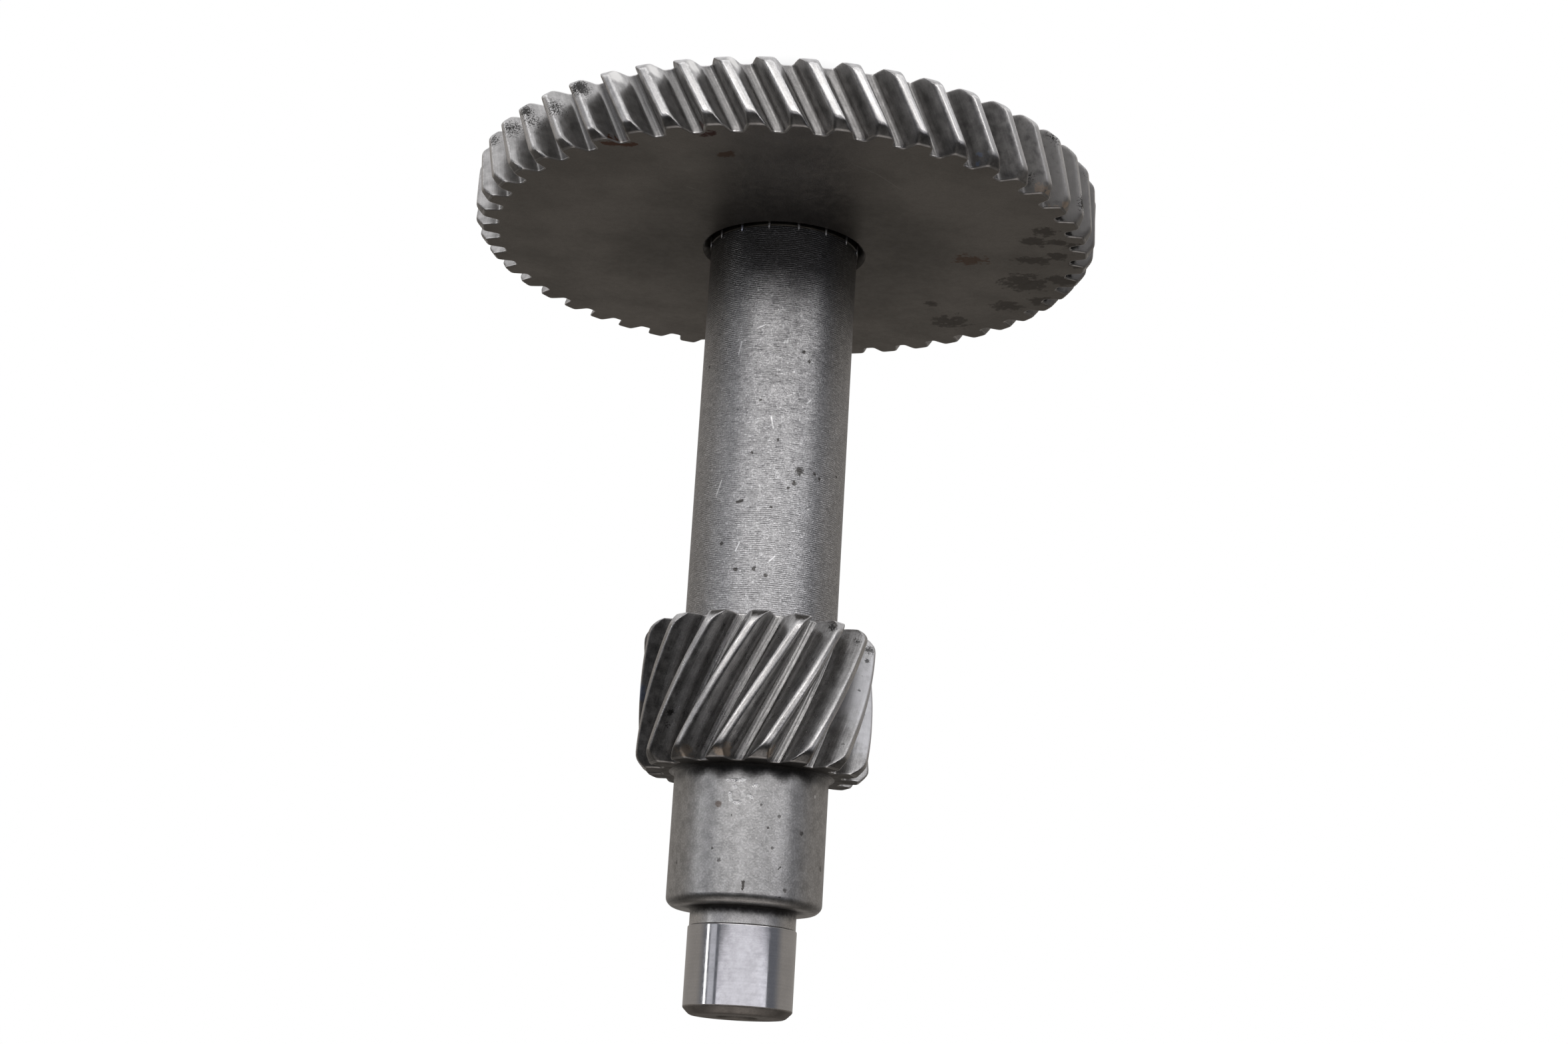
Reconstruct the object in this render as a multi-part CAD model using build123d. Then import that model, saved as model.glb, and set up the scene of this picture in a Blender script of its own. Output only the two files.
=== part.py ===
"""Compound transmission shaft: a pinion cut in one piece with its shaft, and a larger gear pressed on.

Millimetres and degrees. +Z runs up the axis, from the short journal under the large gear to the
journal at the free end. The origin is the middle of the lower end face, on which the part stands.
"""
from build123d import *
import math
import os

# Standard bearing seats and the plain body between them
JOURNAL_DIAMETER = 17.0
JOURNAL_END_CHAMFER = 1.1
JOURNAL_LENGTH = 13.4
RELIEF_DIAMETER = 16.6
RELIEF_WIDTH = 2.9
RELIEF_CORNER = 0.5
BODY_DIAMETER = 24.4
BODY_CHAMFER = 0.9

# Lengths along the axis: what stands below the large gear, then the stretches above it
BODY_BELOW_GEAR = 0.9
GEAR_WIDTH = 11.15
GEAR_TO_PINION = 65.6
PINION_WIDTH = 23.0
PINION_TO_SHOULDER = 21.15

# Tooth size, which both gears share
NORMAL_MODULE = 1.8
HELIX_ANGLE = 27.7
NORMAL_PRESSURE_ANGLE = 20.0

# Large gear, with left-hand teeth
GEAR_TEETH = 49
GEAR_SHIFT = 0.0
GEAR_ADDENDUM = 1.8
GEAR_DEDENDUM = 2.0
GEAR_ROOT_FILLET = 0.45
GEAR_TURN = 3.44
GEAR_CHAMFER_DEPTH = 1.25
GEAR_UPPER_CHAMFER_WIDTH = 1.55
GEAR_LOWER_CHAMFER_WIDTH = 1.15
BORE_CHAMFER = 1.3

# Pinion, with right-hand teeth and a profile shifted outwards
PINION_TEETH = 16
PINION_SHIFT = 0.28
PINION_ADDENDUM = 2.3
PINION_DEDENDUM = 1.8
PINION_ROOT_FILLET = 0.55
PINION_TURN = 0.3
PINION_UPPER_CHAMFER = 1.6
PINION_LOWER_CHAMFER = 1.3

# The straight steps that follow each flank's involute, and how far the cut teeth reach past the blank.
# One more step stands for each root fillet. The steps keep within 0.05 mm of the true curves.
GEAR_FLANK_STEPS = 2
PINION_FLANK_STEPS = 3
BLANK_TRIM = 0.4

# Lathe centre holes in both ends
CENTRE_MOUTH = 6.7
CENTRE_PILOT = 3.15
CENTRE_PILOT_DEPTH = 7.0
CENTRE_CONE_ANGLE = 60.0
DRILL_POINT_ANGLE = 118.0

# Derived heights, from the lower end face up
LOWER_SHOULDER = JOURNAL_LENGTH + RELIEF_WIDTH
GEAR_BOTTOM = LOWER_SHOULDER + BODY_BELOW_GEAR
GEAR_TOP = GEAR_BOTTOM + GEAR_WIDTH
PINION_BOTTOM = GEAR_TOP + GEAR_TO_PINION
PINION_TOP = PINION_BOTTOM + PINION_WIDTH
UPPER_SHOULDER = PINION_TOP + PINION_TO_SHOULDER
TOTAL_LENGTH = UPPER_SHOULDER + RELIEF_WIDTH + JOURNAL_LENGTH


def involute(angle):
    """Involute function of a pressure angle in radians."""
    return math.tan(angle) - angle


def polar(radius, angle):
    """Point at a radius and an angle in radians."""
    return (radius * math.cos(angle), radius * math.sin(angle))


class HelicalTeeth:
    """Sizes of a helical gear in the plane across its axis, and its toothed outline."""

    def __init__(self, teeth, shift, addendum, dedendum, fillet, steps):
        helix = math.radians(HELIX_ANGLE)
        normal_angle = math.radians(NORMAL_PRESSURE_ANGLE)
        self.teeth = teeth
        self.fillet = fillet
        self.steps = steps
        self.pitch_radius = teeth * NORMAL_MODULE / math.cos(helix) / 2
        self.lead = 2 * math.pi * self.pitch_radius / math.tan(helix)
        self.tip_radius = self.pitch_radius + addendum
        self.root_radius = self.pitch_radius - dedendum
        cross_angle = math.atan(math.tan(normal_angle) / math.cos(helix))
        self.base_radius = self.pitch_radius * math.cos(cross_angle)
        half_tooth = (math.pi / 2 + 2 * shift * math.tan(normal_angle)) / teeth
        self.half_base = half_tooth + involute(cross_angle)

    def flank_angle(self, radius):
        """Angle from the middle of a tooth to its flank; inside the base circle the flank is radial."""
        return self.half_base - involute(math.acos(min(1.0, self.base_radius / radius)))

    def flank_start(self):
        """Radius where the flank leaves its root fillet, which touches both the flank and the root circle."""
        centre = self.root_radius + self.fillet
        if centre <= self.base_radius:
            return math.sqrt(centre ** 2 - self.fillet ** 2)
        roll = max(0.0, math.sqrt(centre ** 2 - self.base_radius ** 2) - self.fillet)
        return math.hypot(self.base_radius, roll)

    def fillet_end(self):
        """Angle where the fillet meets the root circle."""
        start = self.flank_start()
        centre = self.root_radius + self.fillet
        spread = math.acos((centre ** 2 + start ** 2 - self.fillet ** 2) / (2 * centre * start))
        return self.flank_angle(start) + spread

    def half_tooth(self):
        """Radius and angle of each point from the root to past the tip, on the positive side of a tooth."""
        start = self.flank_start()
        rise = (self.tip_radius + BLANK_TRIM - start) / self.steps
        radii = [start + rise * i for i in range(self.steps + 1)]
        flank = [(radius, self.flank_angle(radius)) for radius in radii]
        return [(self.root_radius, self.fillet_end())] + flank

    def outline(self):
        """Face across the axis, with a tooth centred on the X axis."""
        side = self.half_tooth()
        tooth = [(radius, -angle) for radius, angle in side] + side[::-1]
        pitch = 2 * math.pi / self.teeth
        points = [polar(radius, angle + i * pitch) for i in range(self.teeth) for radius, angle in tooth]
        return make_face(Polyline(*points, close=True)).face()

    def prism(self, bottom, top, hand, turn):
        """Twisted toothed solid; turn places a tooth at the bottom, and hand is -1 for left, 1 for right."""
        twist = hand * 360 * (top - bottom) / self.lead
        outline = self.outline().moved(Location((0, 0, bottom), (0, 0, turn)))
        return Solid.extrude_linear_with_rotation(outline, (0, 0, bottom), (0, 0, top - bottom), twist)


GEAR = HelicalTeeth(
    GEAR_TEETH, GEAR_SHIFT, GEAR_ADDENDUM, GEAR_DEDENDUM, GEAR_ROOT_FILLET, GEAR_FLANK_STEPS
)
PINION = HelicalTeeth(
    PINION_TEETH, PINION_SHIFT, PINION_ADDENDUM, PINION_DEDENDUM, PINION_ROOT_FILLET, PINION_FLANK_STEPS
)


def turned(points):
    """Solid turned from radius and height points, closed along the axis."""
    section = make_face(Polyline(*[(radius, 0, height) for radius, height in points], close=True))
    return revolve(section, Axis.Z)


def shaft_end():
    """Half section of one end, from the bottom of its centre hole to the body, by depth from the end face."""
    pilot = CENTRE_PILOT / 2
    mouth = CENTRE_MOUTH / 2
    cone = (mouth - pilot) / math.tan(math.radians(CENTRE_CONE_ANGLE / 2))
    point = pilot / math.tan(math.radians(DRILL_POINT_ANGLE / 2))
    journal = JOURNAL_DIAMETER / 2
    relief = RELIEF_DIAMETER / 2
    body = BODY_DIAMETER / 2
    return [
        (0, CENTRE_PILOT_DEPTH + point),
        (pilot, CENTRE_PILOT_DEPTH),
        (pilot, cone),
        (mouth, 0),
        (journal - JOURNAL_END_CHAMFER, 0),
        (journal, JOURNAL_END_CHAMFER),
        (journal, JOURNAL_LENGTH),
        (relief, JOURNAL_LENGTH + journal - relief),
        (relief, JOURNAL_LENGTH + RELIEF_WIDTH - RELIEF_CORNER),
        (relief + RELIEF_CORNER, JOURNAL_LENGTH + RELIEF_WIDTH),
        (body - BODY_CHAMFER, JOURNAL_LENGTH + RELIEF_WIDTH),
        (body, JOURNAL_LENGTH + RELIEF_WIDTH + BODY_CHAMFER),
    ]


def shaft_bar():
    """The plain turned bar: body, relief grooves, journals and centre holes."""
    upper = [(radius, TOTAL_LENGTH - depth) for radius, depth in reversed(shaft_end())]
    return turned(shaft_end() + upper)


def pinion_shaft():
    """Shaft with its pinion: the turned bar, and right-hand teeth cut in a blank that is part of it."""
    tip = PINION.tip_radius
    blank = turned([
        (0, PINION_BOTTOM),
        (tip - PINION_LOWER_CHAMFER, PINION_BOTTOM),
        (tip, PINION_BOTTOM + PINION_LOWER_CHAMFER),
        (tip, PINION_TOP - PINION_UPPER_CHAMFER),
        (tip - PINION_UPPER_CHAMFER, PINION_TOP),
        (0, PINION_TOP),
    ])
    teeth = PINION.prism(PINION_BOTTOM, PINION_TOP, 1, PINION_TURN) & blank
    return shaft_bar() + teeth


def large_gear():
    """Flat gear with left-hand teeth, chamfered on both faces and bored to press over the body."""
    tip = GEAR.tip_radius
    edge = tip - GEAR_CHAMFER_DEPTH
    bore = BODY_DIAMETER / 2
    blank = turned([
        (bore, GEAR_BOTTOM + BORE_CHAMFER),
        (bore + BORE_CHAMFER, GEAR_BOTTOM),
        (edge, GEAR_BOTTOM),
        (tip, GEAR_BOTTOM + GEAR_LOWER_CHAMFER_WIDTH),
        (tip, GEAR_TOP - GEAR_UPPER_CHAMFER_WIDTH),
        (edge, GEAR_TOP),
        (bore + BORE_CHAMFER, GEAR_TOP),
        (bore, GEAR_TOP - BORE_CHAMFER),
    ])
    teeth = GEAR.prism(GEAR_BOTTOM, GEAR_TOP, -1, GEAR_TURN)
    return teeth & blank


def main():
    """Write one file for each piece."""
    os.makedirs("parts", exist_ok=True)
    for name, piece in (("pinion_shaft", pinion_shaft()), ("large_gear", large_gear())):
        export_step(piece, f"parts/{name}.step")


if __name__ == "__main__":
    main()
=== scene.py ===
"""Looks of a compound transmission shaft: a pinion shaft and the larger helical gear pressed on it.

Sizes are in millimetres and degrees, and the meshes in metres. +Z runs up the axis, from the short journal
that the part stands on to the journal at the free end.
"""
import logging
import math
from dataclasses import dataclass, field, replace
from enum import Enum
from typing import Any

import bpy
from mathutils import Euler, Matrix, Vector


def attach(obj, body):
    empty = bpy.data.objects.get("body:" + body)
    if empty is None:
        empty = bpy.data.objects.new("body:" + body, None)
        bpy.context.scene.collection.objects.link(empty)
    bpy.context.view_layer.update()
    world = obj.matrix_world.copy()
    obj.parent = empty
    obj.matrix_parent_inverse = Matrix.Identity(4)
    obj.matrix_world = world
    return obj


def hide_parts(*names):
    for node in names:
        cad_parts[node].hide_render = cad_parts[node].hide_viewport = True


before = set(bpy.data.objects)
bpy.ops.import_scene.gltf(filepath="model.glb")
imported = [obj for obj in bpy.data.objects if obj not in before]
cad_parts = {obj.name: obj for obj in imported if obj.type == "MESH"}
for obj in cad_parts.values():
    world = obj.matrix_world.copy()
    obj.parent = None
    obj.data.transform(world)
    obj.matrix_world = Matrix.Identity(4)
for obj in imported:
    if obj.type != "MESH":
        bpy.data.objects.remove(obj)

LOG = logging.getLogger("transmission_shaft")
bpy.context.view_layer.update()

# A millimetre, and the distance within which the points of neighbouring slices are merged, in metres
MM = 0.001
WELD = 0.000002

# Angle in degrees between faces up to which they shade smoothly, and number of steps that round a corner
SMOOTH_ANGLE = 32.0
ARC_STEPS = 3

# Tooth size, which both gears share
NORMAL_MODULE = 1.8
HELIX_ANGLE = 27.7
NORMAL_PRESSURE_ANGLE = 20.0

# Usual value of a group's inputs that are points
ORIGIN = (0.0, 0.0, 0.0)

# How far a pit is sunk, the hob's lines for each tooth, and the Vector Math operations that give a value
PIT_DEPTH = 0.015
HOB_LINES = 11
GIVES_VALUE = ("LENGTH", "DISTANCE", "DOT_PRODUCT")

Colour = tuple[float, float, float]
Place = tuple[float, float, float]
Point = tuple[float, float]
Dressed = tuple[bpy.types.Object, str | None, str]

# Linear colours of the marks that wear, dirt and rust have left, of painted glints and painted shade, and
# of plain white
WHITE: Colour = (1.0, 1.0, 1.0)
PIT: Colour = (0.06, 0.055, 0.05)
BRIGHT: Colour = (0.85, 0.85, 0.85)
BLACK: Colour = (0.012, 0.011, 0.01)
BROWN: Colour = (0.13, 0.09, 0.065)
WARM: Colour = (0.62, 0.52, 0.43)
FROSTED: Colour = (0.62, 0.62, 0.64)
MATTE: Colour = (0.52, 0.51, 0.495)
SHINY: Colour = (0.74, 0.74, 0.74)
STAIN: Colour = (0.13, 0.115, 0.1)
RUST: Colour = (0.16, 0.055, 0.02)
DARK_RUST: Colour = (0.1, 0.022, 0.014)
RUSTY: Colour = (0.2, 0.12, 0.08)
BLUISH: Colour = (0.32, 0.38, 0.52)
PAINTED_GLINT: Colour = (0.75, 0.8, 0.95)
WORN: Colour = (0.6, 0.59, 0.57)


class Hand(Enum):
    """Which way a helical tooth leans."""

    LEFT = -1
    RIGHT = 1


def involute(angle: float) -> float:
    """Involute function of a pressure angle in radians."""
    return math.tan(angle) - angle


def bend(near: Point, corner: Point, far: Point, share: float) -> Point:
    """Point on the curve that rounds a corner.

    Args:
        near: where the curve leaves the first side.
        corner: the sharp corner.
        far: where the curve meets the second side.
        share: how far along the curve the point lies, from 0 to 1.

    Returns:
        The point's two coordinates.
    """
    weights = ((1 - share) ** 2, 2 * share * (1 - share), share ** 2)
    first, second = (sum(w * p[k] for w, p in zip(weights, (near, corner, far))) for k in (0, 1))
    return first, second


@dataclass(frozen=True)
class ToothForm:
    """Helical involute teeth of one gear, in the plane across its axis.

    Lengths are in millimetres, except that shift is in modules. turn is the angle in degrees of a tooth's
    middle at the height bottom, and the steps say how finely each stretch of its outline is drawn.
    """

    teeth: int
    hand: Hand
    shift: float
    addendum: float
    dedendum: float
    fillet: float
    tip_round: float
    bottom: float
    top: float
    turn: float
    root_steps: int = 3
    fillet_steps: int = 3
    flank_steps: int = 7
    tip_steps: int = 3
    land_steps: int = 3

    @property
    def pitch_radius(self) -> float:
        """Radius of the pitch circle."""
        return self.teeth * NORMAL_MODULE / math.cos(math.radians(HELIX_ANGLE)) / 2

    @property
    def tip_radius(self) -> float:
        """Radius of the lands."""
        return self.pitch_radius + self.addendum

    @property
    def root_radius(self) -> float:
        """Radius of the roots."""
        return self.pitch_radius - self.dedendum

    @property
    def cross_angle(self) -> float:
        """Pressure angle across the axis, in radians."""
        normal_angle, helix = math.radians(NORMAL_PRESSURE_ANGLE), math.radians(HELIX_ANGLE)
        return math.atan(math.tan(normal_angle) / math.cos(helix))

    @property
    def base_radius(self) -> float:
        """Radius of the base circle."""
        return self.pitch_radius * math.cos(self.cross_angle)

    @property
    def columns(self) -> int:
        """Number of steps in the outline of one tooth."""
        stretches = (self.root_steps, self.fillet_steps, self.flank_steps, self.tip_steps, self.land_steps)
        return 2 * sum(stretches)

    @property
    def twist_rate(self) -> float:
        """Turn of the teeth in radians for each millimetre of height."""
        return self.hand.value * math.tan(math.radians(HELIX_ANGLE)) / self.pitch_radius

    def twist(self, height: float) -> float:
        """Angle in radians of a tooth's middle at a height, held still below and above the teeth."""
        rise = min(max(height, self.bottom), self.top) - self.bottom
        return math.radians(self.turn) + self.twist_rate * rise

    def flank_angle(self, radius: float) -> float:
        """Angle across the axis from the middle of a tooth to its flank.

        Args:
            radius: distance from the axis.

        Returns:
            The angle in radians.
        """
        normal_angle = math.radians(NORMAL_PRESSURE_ANGLE)
        half_tooth = (math.pi / 2 + 2 * self.shift * math.tan(normal_angle)) / self.teeth
        roll = math.acos(min(1.0, self.base_radius / radius))
        return half_tooth + involute(self.cross_angle) - involute(roll)

    def flank_start(self) -> float:
        """Find where the flank leaves its root fillet.

        Returns:
            The radius of that point.
        """
        centre = self.root_radius + self.fillet
        if centre <= self.base_radius:
            return math.sqrt(centre ** 2 - self.fillet ** 2)
        roll = max(0.0, math.sqrt(centre ** 2 - self.base_radius ** 2) - self.fillet)
        return math.hypot(self.base_radius, roll)

    def half_outline(self, reach: float) -> list[Point]:
        """Outline from the middle of a gap up to the middle of a tooth.

        Args:
            reach: radius to which the tooth stands at this height.

        Returns:
            Radius and angle of each point, the angle in radians from the middle of the tooth.
        """
        start = self.flank_start()
        centre = self.root_radius + self.fillet
        gap = math.pi / self.teeth
        spread = math.acos((centre ** 2 + start ** 2 - self.fillet ** 2) / (2 * centre * start))
        foot = self.flank_angle(start) + spread
        turns = [gap + (foot - gap) * i / self.root_steps for i in range(self.root_steps)]
        points = [(self.root_radius, turn) for turn in turns]
        lean = math.acos((centre ** 2 + self.fillet ** 2 - start ** 2) / (2 * centre * self.fillet))
        for i in range(self.fillet_steps):
            across = self.fillet * math.sin(lean * i / self.fillet_steps)
            along = centre - self.fillet * math.cos(lean * i / self.fillet_steps)
            points.append((math.hypot(across, along), foot - math.atan2(across, along)))
        edge = reach - self.tip_round
        radii = [start + (edge - start) * i / self.flank_steps for i in range(self.flank_steps)]
        points += [(radius, self.flank_angle(radius)) for radius in radii]
        near = (edge, self.flank_angle(edge))
        corner = (reach, self.flank_angle(reach))
        far = (reach, corner[1] - self.tip_round / reach)
        points += [bend(near, corner, far, i / self.tip_steps) for i in range(self.tip_steps)]
        return points + [(reach, far[1] * (1 - i / self.land_steps)) for i in range(self.land_steps + 1)]

    def outline(self, reach: float, inset: float = 0.0) -> list[Point]:
        """Outline of one whole tooth, from gap to gap.

        Args:
            reach: radius to which the tooth stands at this height.
            inset: distance by which the outline is drawn into the metal, along its normal.

        Returns:
            Radius and angle in radians of each of the columns + 1 points.
        """
        half = self.half_outline(reach)
        before = (half[1][0], 2 * math.pi / self.teeth - half[1][1])
        after = (half[-2][0], -half[-2][1])
        flat = [Vector((r * math.cos(a), r * math.sin(a))) for r, a in (before, *half, after)]
        drawn: list[Point] = []
        for last, point, following in zip(flat, flat[1:], flat[2:]):
            run = (following - last).normalized()
            inner = point + Vector((run.y, -run.x)) * inset
            angle = math.atan2(inner.y, inner.x)
            drawn.append((min(inner.length, reach - inset), min(angle, drawn[-1][1]) if drawn else angle))
        return drawn + [(radius, -angle) for radius, angle in drawn[-2::-1]]


@dataclass(frozen=True)
class Corner:
    """Corner of a turned section, with the surface that runs from it to the next corner.

    Attributes:
        radius: distance from the axis in millimetres; on teeth, the radius to which they stand.
        height: height in millimetres.
        zone: place of the surface's finish in the piece's list of finishes.
        soft: how far the rounding of the corner reaches along both sides.
        toothed: whether the teeth show at this height.
        inset: how far a toothed outline is drawn into the metal.
        steps: number of rows of faces up to the next corner.
        in_line: whether the points of a plain row keep in line with those of the nearest teeth.
    """

    radius: float
    height: float
    zone: int = 0
    soft: float = 0.0
    toothed: bool = False
    inset: float = 0.0
    steps: int = 1
    in_line: bool = False


def towards(start: Corner, end: Corner, distance: float) -> Corner:
    """Point on the straight side between two corners.

    Args:
        start: the corner that the side leaves.
        end: the corner that it reaches.
        distance: how far from start the point lies.

    Returns:
        The point, as start is in everything but its place and inset.
    """
    length = math.hypot(end.radius - start.radius, end.height - start.height)
    share = distance / length if length else 0.0
    return replace(
        start,
        radius=start.radius + (end.radius - start.radius) * share,
        height=start.height + (end.height - start.height) * share,
        inset=start.inset + (end.inset - start.inset) * share,
    )


def section_rows(corners: list[Corner]) -> list[Corner]:
    """Rows of a turned section, with its soft corners rounded and its long sides divided.

    Args:
        corners: the section's corners, in order from the bottom of the piece.

    Returns:
        One entry for each row of vertices.
    """
    rows: list[Corner] = []
    for i, corner in enumerate(corners):
        if corner.soft:
            near = towards(corner, corners[i - 1], corner.soft)
            far = towards(corner, corners[i + 1], corner.soft)
            sharp = (corner.radius, corner.height)
            for step in range(ARC_STEPS + 1):
                share = step / ARC_STEPS
                spot = bend((near.radius, near.height), sharp, (far.radius, far.height), share)
                rows.append(replace(corner, radius=spot[0], height=spot[1]))
        else:
            rows.append(corner)
        if corner.steps > 1:
            following = corners[i + 1]
            end = towards(following, rows[-1], following.soft) if following.soft else following
            first = rows[-1]
            length = math.hypot(end.radius - first.radius, end.height - first.height)
            rows += [towards(first, end, length * step / corner.steps) for step in range(1, corner.steps)]
    return rows


def start_clean() -> None:
    """Leave every object unselected, so that an operator acts on the new piece alone."""
    if bpy.context.object and bpy.context.object.mode != "OBJECT":
        bpy.ops.object.mode_set(mode="OBJECT")
    bpy.ops.object.select_all(action="DESELECT")


def slice_lines(form: ToothForm, rows: list[Corner]) -> list[list[Vector]]:
    """Place the points of one slice of a turned piece, as wide as a tooth.

    Args:
        form: the piece's teeth.
        rows: the rows of its section.

    Returns:
        The points of each row, in metres.
    """
    even = [2 * math.pi / form.teeth * (0.5 - column / form.columns) for column in range(form.columns + 1)]
    toothed = [row for row in rows if row.toothed]
    lines = []
    for row in rows:
        if row.toothed:
            outline = form.outline(row.radius, row.inset)
        elif row.in_line:
            nearest = min(toothed, key=lambda other: abs(other.height - row.height))
            outline = [(row.radius, angle) for _, angle in form.outline(nearest.radius, nearest.inset)]
        else:
            outline = [(row.radius, angle) for angle in even]
        turn = form.twist(row.height)
        lines.append([
            Vector((r * math.cos(a + turn), r * math.sin(a + turn), row.height)) * MM for r, a in outline
        ])
    return lines


def toothed_piece(name: str, form: ToothForm, corners: list[Corner]) -> bpy.types.Object:
    """Model a turned piece with teeth: one slice, as wide as a tooth, is shaped and then spun round.

    Args:
        name: the piece's name.
        form: its teeth.
        corners: its turned section.

    Returns:
        The finished mesh object, with faces sorted into zones.
    """
    rows = section_rows(corners)
    start_clean()
    bpy.ops.mesh.primitive_grid_add(x_subdivisions=form.columns, y_subdivisions=len(rows) - 1, size=2)
    piece = bpy.context.active_object
    piece.name = piece.data.name = name
    lines = slice_lines(form, rows)
    places = [
        (round((v.co.x + 1) / 2 * form.columns), round((v.co.y + 1) / 2 * (len(rows) - 1)))
        for v in piece.data.vertices
    ]
    for face in piece.data.polygons:
        face.material_index = rows[min(places[v][1] for v in face.vertices)].zone
    for vertex, (column, row) in zip(piece.data.vertices, places):
        vertex.co = lines[row][column]
    bpy.ops.object.mode_set(mode="EDIT")
    bpy.ops.mesh.select_all(action="SELECT")
    copies = form.teeth - 1
    bpy.ops.mesh.spin(
        steps=copies, dupli=True, angle=2 * math.pi * copies / form.teeth, center=(0, 0, 0), axis=(0, 0, 1)
    )
    bpy.ops.mesh.select_all(action="SELECT")
    bpy.ops.mesh.remove_doubles(threshold=WELD)
    bpy.ops.mesh.normals_make_consistent(inside=False)
    bpy.ops.object.mode_set(mode="OBJECT")
    bpy.ops.object.shade_smooth_by_angle(angle=math.radians(SMOOTH_ANGLE))
    flat = piece.modifiers.new("broad_faces_stay_flat", "WEIGHTED_NORMAL")
    flat.keep_sharp = True
    bpy.ops.object.modifier_apply(modifier=flat.name)
    return piece


class Tree:
    """Node tree with short calls to add and link nodes."""

    def __init__(self, tree: bpy.types.NodeTree) -> None:
        """Keep the tree.

        Args:
            tree: a material's, world's or group's node tree.
        """
        self.tree = tree

    def add(self, kind: str, inputs: dict[str | int, Any] | None = None, **settings: Any) -> bpy.types.Node:
        """Add a node.

        Args:
            kind: the node's type without its ShaderNode prefix.
            inputs: what feeds each input, by name or place: a socket to link, or a value.
            settings: the node's own properties.

        Returns:
            The new node.
        """
        node = self.tree.nodes.new("ShaderNode" + kind)
        for key, value in settings.items():
            setattr(node, key, value)
        self.feed(node, inputs or {})
        return node

    def feed(self, node: bpy.types.Node, inputs: dict[str | int, Any]) -> None:
        """Link or set a node's inputs.

        Args:
            node: the node to feed.
            inputs: what feeds each input, by name or place.
        """
        for key, value in inputs.items():
            if isinstance(value, bpy.types.NodeSocket):
                self.tree.links.new(value, node.inputs[key])
            else:
                node.inputs[key].default_value = value

    def join(self, source: bpy.types.NodeSocket, target: bpy.types.NodeSocket) -> None:
        """Link an output to an input."""
        self.tree.links.new(source, target)

    def sum(self, operation: str, *values: Any, clamp: bool = False) -> bpy.types.NodeSocket:
        """Result of a Math node.

        Args:
            operation: the node's operation.
            values: its inputs in order.
            clamp: whether the result is held between 0 and 1.

        Returns:
            The value's socket.
        """
        return self.add("Math", dict(enumerate(values)), operation=operation, use_clamp=clamp).outputs[0]

    def vector(self, operation: str, first: Any, second: Any = None) -> bpy.types.NodeSocket:
        """Result of a Vector Math node.

        Args:
            operation: the node's operation.
            first: its first vector.
            second: its second vector, or the factor of a scaling.

        Returns:
            The socket of the vector, or of the value where the operation gives one.
        """
        inputs = {0: first}
        if second is not None:
            inputs["Scale" if operation == "SCALE" else 1] = second
        node = self.add("VectorMath", inputs, operation=operation)
        return node.outputs["Value" if operation in GIVES_VALUE else "Vector"]

    def noise(self, point: Any, scale: Any, detail: float, roughness: float = 0.5) -> bpy.types.NodeSocket:
        """Random value round 0.5 that changes over the surface.

        Args:
            point: the point's socket.
            scale: number of patches in a millimetre.
            detail: number of finer octaves.
            roughness: strength of each octave beside the one before.

        Returns:
            The value's socket.
        """
        inputs = {"Vector": point, "Scale": scale, "Detail": detail, "Roughness": roughness}
        return self.add("TexNoise", inputs).outputs[0]

    def blend(self, share: Any, first: Any, second: Any) -> bpy.types.NodeSocket:
        """Colour between two colours.

        Args:
            share: 0 for the first colour, 1 for the second.
            first: a colour or its socket.
            second: a colour or its socket.

        Returns:
            The colour's socket.
        """
        paints = [c if isinstance(c, bpy.types.NodeSocket) else (*c, 1.0) for c in (first, second)]
        return self.add("Mix", {0: share, 6: paints[0], 7: paints[1]}, data_type="RGBA").outputs[2]

    def ramp(self, value: Any, low: float, high: float, start: float = 0.0,
             end: float = 1.0) -> bpy.types.NodeSocket:
        """Smooth step of a value from one range to another.

        Args:
            value: the value's socket.
            low: the value that gives start.
            high: the value that gives end.
            start: result at low.
            end: result at high.

        Returns:
            The result's socket.
        """
        inputs = {"Value": value, "From Min": low, "From Max": high, "To Min": start, "To Max": end}
        return self.add("MapRange", inputs, interpolation_type="SMOOTHSTEP").outputs["Result"]


class Along(Enum):
    """Direction across which tool lines follow each other."""

    HEIGHT = "Height"
    RADIUS = "Radius"


def new_group(name: str, inputs: dict[str, Any], outputs: dict[str, str]) -> tuple[Tree, Any, Any]:
    """Start a node group for an effect that several finishes share.

    Args:
        name: the group's name.
        inputs: each input's name and usual value.
        outputs: each output's name and kind, Float or Vector.

    Returns:
        The group's tree, the outputs of its input node and the inputs of its output node.
    """
    tree = bpy.data.node_groups.new(name, "ShaderNodeTree")
    for label, value in inputs.items():
        kind = "NodeSocketVector" if isinstance(value, tuple) else "NodeSocketFloat"
        tree.interface.new_socket(label, in_out="INPUT", socket_type=kind).default_value = value
    for label, kind in outputs.items():
        tree.interface.new_socket(label, in_out="OUTPUT", socket_type="NodeSocket" + kind)
    given = tree.nodes.new("NodeGroupInput").outputs
    result = tree.nodes.new("NodeGroupOutput").inputs
    return Tree(tree), given, result


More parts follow.
